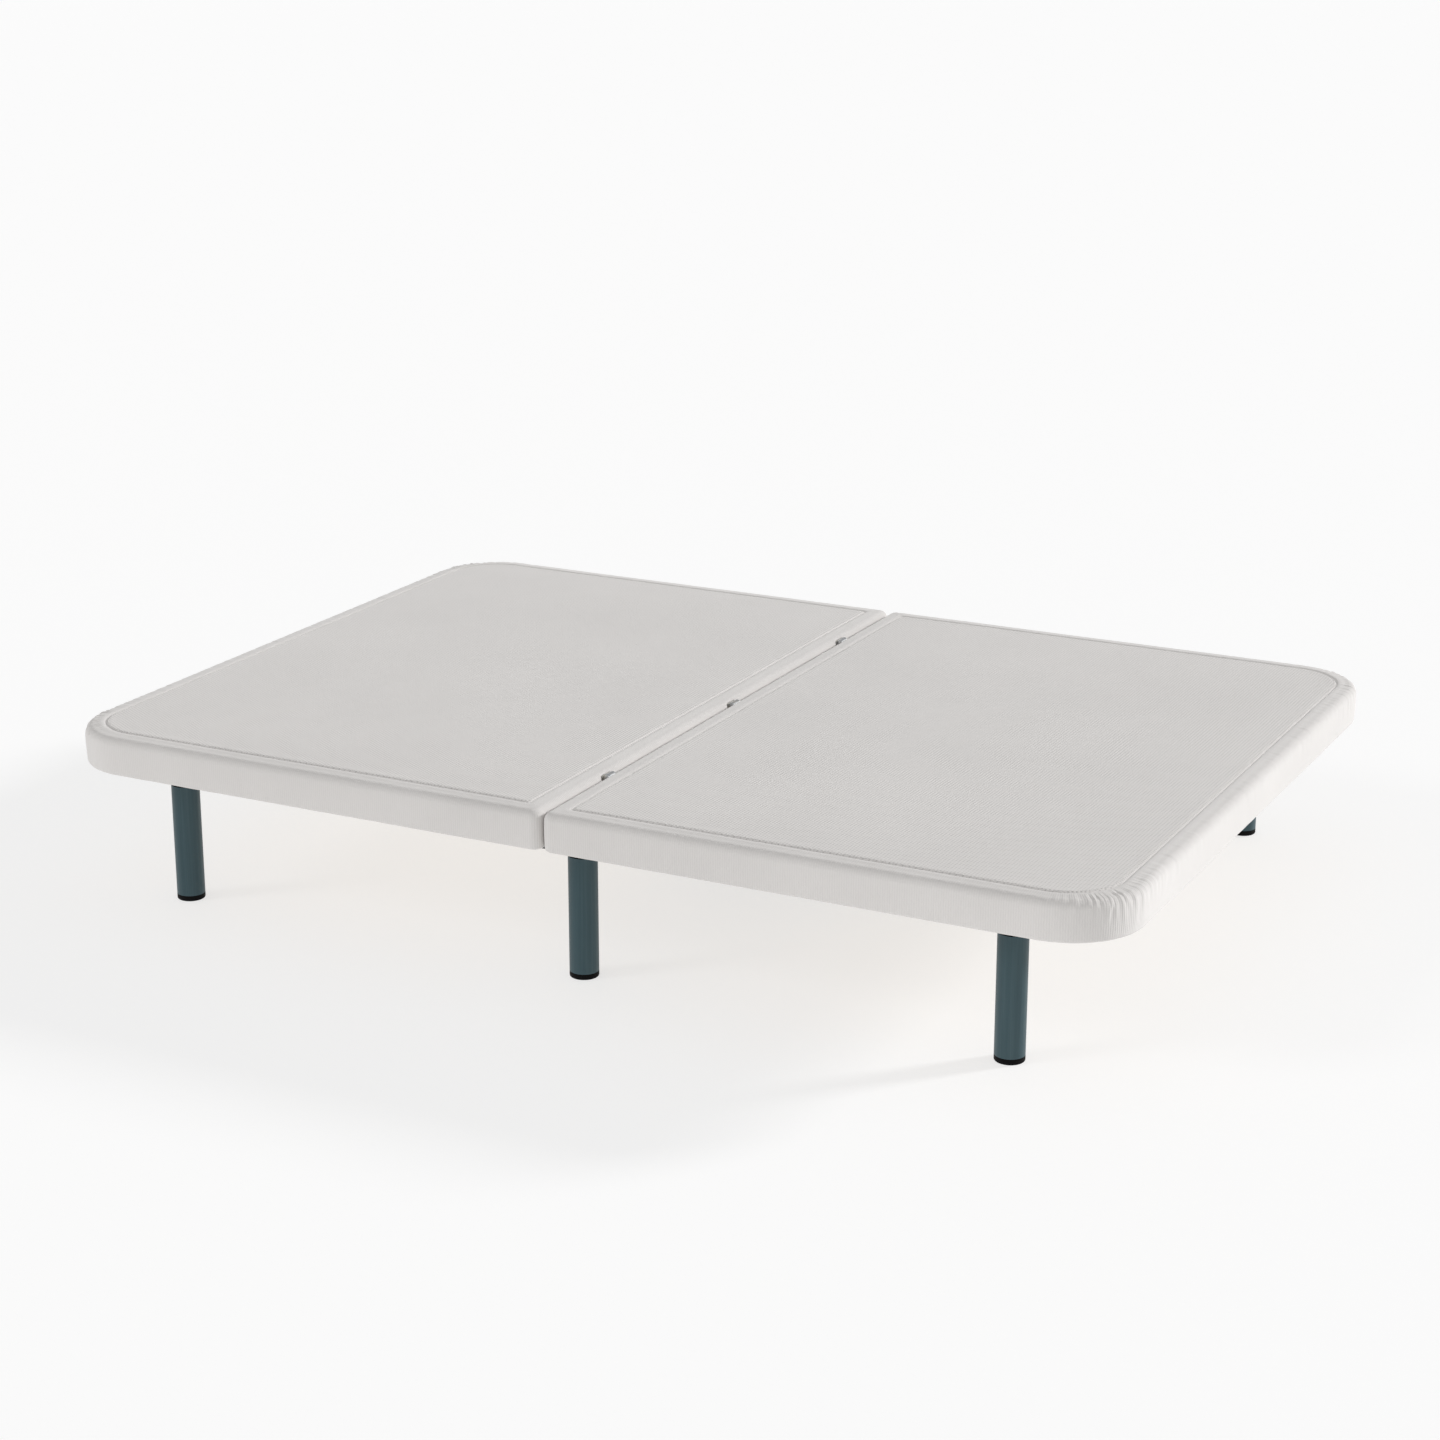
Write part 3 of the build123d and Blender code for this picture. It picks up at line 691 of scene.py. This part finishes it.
def put_top(half, shell, corner, ends):
    """Border of the top, with its seam, then the panel in to the middle."""
    depths = [d * MM for d in TOP_DEPTHS]
    for d in depths:
        base = half.inset(d)
        where = half.along(base, d)
        c_at = half.weight_at(corner, where)
        ring = []
        for i in range(len(base)):
            x, y = base[i]
            lift = relief(half, where[i], d, half.top, c_at[i], ends[i])
            ring.append((x, y, half.top + lift + top_relief(half, x, y, d)))
        shell.put(ring, (d, half.top))
    edge = half.inset(depths[-1])
    inner_steps = 14
    for k in range(1, inner_steps):
        t = k / inner_steps
        d = depths[-1] + t * 0.4
        ring = []
        for i in range(len(edge)):
            x, y = edge[i] + (half.centre - edge[i]) * t
            ring.append((x, y, half.top + top_relief(half, x, y, d)))
        shell.put(ring, (d, half.top))


def inner_rings(half):
    """Hidden face of the fabric, against the rails and the foam."""
    low, high = half.bottom, half.top
    inner = [(22 * MM, low + 1.6 * MM), (12 * MM, low + 1.6 * MM), (1.8 * MM, low + 1.8 * MM),
             (1.8 * MM, low + 20 * MM), (1.8 * MM, low + 45 * MM), (6 * MM, high - 6 * MM),
             (14 * MM, high - 1.9 * MM), (60 * MM, high - 1.9 * MM)]
    return [[(x, y, z) for x, y in half.inset(d)] for d, z in inner]


class Skin:
    """Mesh of one cover. Material 0 is the side band, 1 the top panel."""

    def __init__(self, half):
        self.half, self.side = half, half.side
        self.bm = bmesh.new()
        self.uv = self.bm.loops.layers.uv.new("knit")

    def ring(self, points):
        made = []
        for point in points:
            x, y, z = clear_hinges(point, self.half.top - HINGE_DROP)
            made.append(self.bm.verts.new((x, y * self.side, z)))
        return made

    def between(self, a, b, va, vb, material, flip=False):
        arc = self.half.arc
        for i in range(len(a)):
            j = (i + 1) % len(a)
            quad = [a[i], a[j], b[j], b[i]]
            marks = [(arc[i], va), (arc[i + 1], va), (arc[i + 1], vb), (arc[i], vb)]
            if flip != (self.side < 0):
                quad.reverse()
                marks.reverse()
            face = self.bm.faces.new(quad)
            face.material_index = material
            face.smooth = True
            for loop, mark in zip(face.loops, marks):
                loop[self.uv].uv = mark

    def close_middle(self, last):
        half = self.half
        high = half.top + top_relief(half, 0, half.centre[1], 0.5)
        hub = self.bm.verts.new((half.centre[0], half.centre[1] * self.side, high))
        for i in range(len(last)):
            trio = [last[i], last[(i + 1) % len(last)], hub]
            if self.side < 0:
                trio.reverse()
            face = self.bm.faces.new(trio)
            face.material_index = 1
            face.smooth = True

    def finish(self, name):
        bm = self.bm
        bmesh.ops.remove_doubles(bm, verts=bm.verts, dist=2e-6)
        rim = [e for e in bm.edges if e.is_boundary]
        if rim:
            bmesh.ops.contextual_create(bm, geom=rim)
        bmesh.ops.recalc_face_normals(bm, faces=bm.faces)
        mesh = bpy.data.meshes.new(name)
        bm.to_mesh(mesh)
        bm.free()
        return mesh


def make_cover(name, cover, body, side, mats):
    half = Half(cover, side)
    corner = half.corner_weight(0.26)
    half.pleats = make_pleats(half, corner, half.split_weight(0.09))
    half.pleat_starts = [p[0] for p in half.pleats]
    ends = np.maximum(half.normals[:, 1], 0)
    shell = Rings()
    put_side(half, shell, corner, ends)
    seam_ring = len(shell.rings) + TOP_DEPTHS.index(SEAM_AT / MM)
    put_top(half, shell, corner, ends)

    skin = Skin(half)
    outer = [skin.ring(ring) for ring in shell.rings]
    under = [skin.ring(ring) for ring in inner_rings(half)]
    run = shell.run
    for k in range(len(outer) - 1):
        skin.between(outer[k], outer[k + 1], run[k], run[k + 1], 1 if k >= seam_ring else 0)
    skin.close_middle(outer[-1])
    skin.between(outer[0], under[0], 0.0, 0.0016, 0, True)
    for k in range(len(under) - 1):
        skin.between(under[k], under[k + 1], 0.01 * k, 0.01 * (k + 1), 0, True)
    mesh = skin.finish(name)
    piece = bpy.data.objects.new(name, mesh)
    bpy.context.scene.collection.objects.link(piece)
    for mat in mats:
        mesh.materials.append(mat)
    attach(piece, body)
    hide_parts(cover)
    return half


def finish_piece(name, bm, mat, body):
    mesh = bpy.data.meshes.new(name)
    bmesh.ops.recalc_face_normals(bm, faces=bm.faces)
    bm.to_mesh(mesh)
    bm.free()
    for face in mesh.polygons:
        face.use_smooth = True
    mesh.materials.append(mat)
    piece = bpy.data.objects.new(name, mesh)
    bpy.context.scene.collection.objects.link(piece)
    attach(piece, body)
    return piece


def outline_walk(half, depth, pitch):
    """Evenly spaced places along an inset outline: point and direction."""
    line = half.inset(depth)
    closed = np.vstack([line, line[:1]])
    step = np.hypot(*(np.diff(closed, axis=0)).T)
    total = np.concatenate([[0], np.cumsum(step)])
    places = []
    for k in range(int(total[-1] / pitch)):
        s = k * pitch
        i = min(int(np.searchsorted(total, s, "right")) - 1, len(line) - 1)
        if step[i] < 1e-7:
            continue
        t = (s - total[i]) / step[i]
        point = closed[i] + (closed[i + 1] - closed[i]) * t
        direction = (closed[i + 1] - closed[i]) / step[i]
        places.append((point, direction))
    return places


def add_capsule(bm, a, b, radius, sides=6):
    """Short thread lying from a to b, with tapered ends."""
    a, b = Vector(a), Vector(b)
    axis = (b - a).normalized()
    across = axis.cross(Vector((0, 0, 1))).normalized()
    upward = across.cross(axis)
    rings = []
    for t, scale in ((0.0, 0.35), (0.18, 0.9), (0.5, 1.0), (0.82, 0.9), (1.0, 0.35)):
        middle = a.lerp(b, t) + upward * radius * (0.25 if 0 < t < 1 else -0.8)
        ring = []
        for k in range(sides):
            angle = 2 * math.pi * k / sides
            outward = across * math.cos(angle) + upward * math.sin(angle)
            ring.append(bm.verts.new(middle + outward * radius * scale))
        rings.append(ring)
    for low, high in zip(rings, rings[1:]):
        for k in range(sides):
            bm.faces.new((low[k], low[(k + 1) % sides], high[(k + 1) % sides], high[k]))
    bm.faces.new(rings[0])
    bm.faces.new(rings[-1])


def make_stitches(name, half, body, mat):
    """Row of thread beside the seam between side band and top panel."""
    bm = bmesh.new()
    d = SEAM_AT + 4 * MM
    for point, direction in outline_walk(half, d, 6.5 * MM):
        x, y = point
        z = half.top + top_relief(half, x, y, d) + 0.1 * MM
        a = (x, y * half.side, z)
        b = (x + direction[0] * 4.6 * MM, (y + direction[1] * 4.6 * MM) * half.side, z)
        add_capsule(bm, a, b, 0.42 * MM)
    finish_piece(name, bm, mat, body)


def make_staples(name, half, body, mat):
    """Staples that hold the folded fabric under the border rails."""
    rng = random.Random(7 if half.side > 0 else 8)
    bm = bmesh.new()
    for point, direction in outline_walk(half, 15 * MM, 28 * MM):
        lean = rng.uniform(-0.35, 0.35)
        dx = direction[0] * math.cos(lean) - direction[1] * math.sin(lean)
        dy = direction[0] * math.sin(lean) + direction[1] * math.cos(lean)
        x, y = point
        z = half.bottom - 0.25 * MM
        a = (x - dx * 5 * MM, (y - dy * 5 * MM) * half.side, z)
        b = (x + dx * 5 * MM, (y + dy * 5 * MM) * half.side, z)
        add_capsule(bm, a, b, 0.45 * MM)
    finish_piece(name, bm, mat, body)


# ------------------------------------------------------------------ fixings, welds, housing detail

SCREW_PROFILE = ((1.0, -0.2), (1.0, 0.35), (0.93, 0.7), (0.78, 0.93), (0.56, 1.0), (0.40, 1.0), (0.22, 1.0))


def add_screw(bm, centre, radius, facing, turn):
    """Pan head with a cross recess; facing is -1 where it is driven in from below."""
    x, y, z = centre
    sides, high = 32, radius * 0.5
    rings = []
    for part, rise in SCREW_PROFILE:
        ring = []
        for k in range(sides):
            arm = min(k % 8, 8 - k % 8) <= 1
            sunk = 0.55 if part < 0.5 and arm else 0.0
            sunk = 0.75 if part < 0.3 else sunk
            angle = 2 * math.pi * k / sides + turn
            ring.append(bm.verts.new((x + radius * part * math.cos(angle),
                                      y + radius * part * math.sin(angle),
                                      z + facing * high * (rise - sunk))))
        rings.append(ring)
    for low, top in zip(rings, rings[1:]):
        for k in range(sides):
            bm.faces.new((low[k], low[(k + 1) % sides], top[(k + 1) % sides], top[k]))
    bm.faces.new(rings[0])
    bm.faces.new(rings[-1])


def make_bearer_screws(side_name, body, mat):
    """Screws up through the bearers into the board, in two staggered rows clear of the side tubes."""
    rng = random.Random(17 if side_name == "head" else 18)
    low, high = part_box(side_name + "_bearers")
    start, stop = sorted((low.y, high.y))
    bm = bmesh.new()
    count = 8
    for k in range(count):
        y = start + (stop - start) * (k + 0.5) / count
        for s in (-1, 1):
            x = s * (high.x - (8 if k % 2 else 53) * MM)
            add_screw(bm, (x, y, low.z), 4.2 * MM, -1, rng.uniform(0, math.pi))
    finish_piece(side_name + "_bearer_screws", bm, mat, body)


def add_bead(bm, a, b, radius, rng):
    """Weld bead from a to b: overlapping ripples of slightly different size."""
    a, b = Vector(a), Vector(b)
    count = max(3, round((b - a).length / (1.9 * MM)))
    for k in range(count + 1):
        middle = a.lerp(b, k / count) + Vector([rng.uniform(-0.2, 0.2) * MM for _ in range(3)])
        ball = bmesh.ops.create_icosphere(bm, subdivisions=1, radius=radius * rng.uniform(0.85, 1.15))
        bmesh.ops.translate(bm, verts=ball["verts"], vec=middle)


def make_welds(mat):
    """Beads where the cross tubes meet the side tubes."""
    rng = random.Random(5)
    bm = bmesh.new()
    for name in ("head", "mid", "drive", "foot"):
        low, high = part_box("cross_tube_" + name)
        for x in (low.x, high.x):
            for y in (low.y, high.y):
                add_bead(bm, (x, y, low.z + 1 * MM), (x, y, high.z - 1 * MM), 2.1 * MM, rng)
            under = low.z + 0.4 * MM
            add_bead(bm, (x, low.y + 2 * MM, under), (x, high.y - 2 * MM, under), 1.5 * MM, rng)
    finish_piece("tube_welds", bm, mat, "base")


def make_housing_detail(black, plated):
    """Stiffening ribs, vent slats and corner screws of the drive housing."""
    low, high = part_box("drive_housing")
    ribs = bmesh.new()
    inner = high.x - 15 * MM
    count = 22
    for k in range(count):
        y = low.y + (high.y - low.y) * (k + 2.5) / (count + 4)
        add_capsule(ribs, (-inner, y, low.z), (inner, y, low.z), 1.3 * MM, 10)
    for s in (-1, 1):
        for k in range(9):
            y = low.y + (60 + 11 * k) * MM
            x = s * (high.x + 0.1 * MM)
            add_capsule(ribs, (x, y, low.z + 12 * MM), (x, y + 0.1 * MM, high.z - 8 * MM), 1.1 * MM, 10)
    finish_piece("drive_housing_ribs", ribs, black, "base")
    heads = bmesh.new()
    for s in (-1, 1):
        for y in (low.y + 14 * MM, high.y - 14 * MM):
            add_screw(heads, (s * (high.x - 13 * MM), y, low.z), 3.6 * MM, -1, 0.6 * s)
    finish_piece("drive_housing_screws", heads, plated, "base")


# ------------------------------------------------------------------ build

make_camera()
make_stage()
looks = dress_nodes()
fabric = [rib_knit(), spacer_mesh()]
thread = moulded("thread", (0.70, 0.69, 0.67), 0.7, 1500.0)
for name, body, side in (("head", "head_section", 1), ("foot", "base", -1)):
    half = make_cover(name + "_upholstery", name + "_cover", body, side, fabric)
    make_stitches(name + "_seam_stitches", half, body, thread)
    make_staples(name + "_staples", half, body, looks["zinc"])
    make_bearer_screws(name, body, looks["zinc"])
make_welds(looks["frame_paint"])
make_housing_detail(looks["black_plastic"], looks["zinc"])
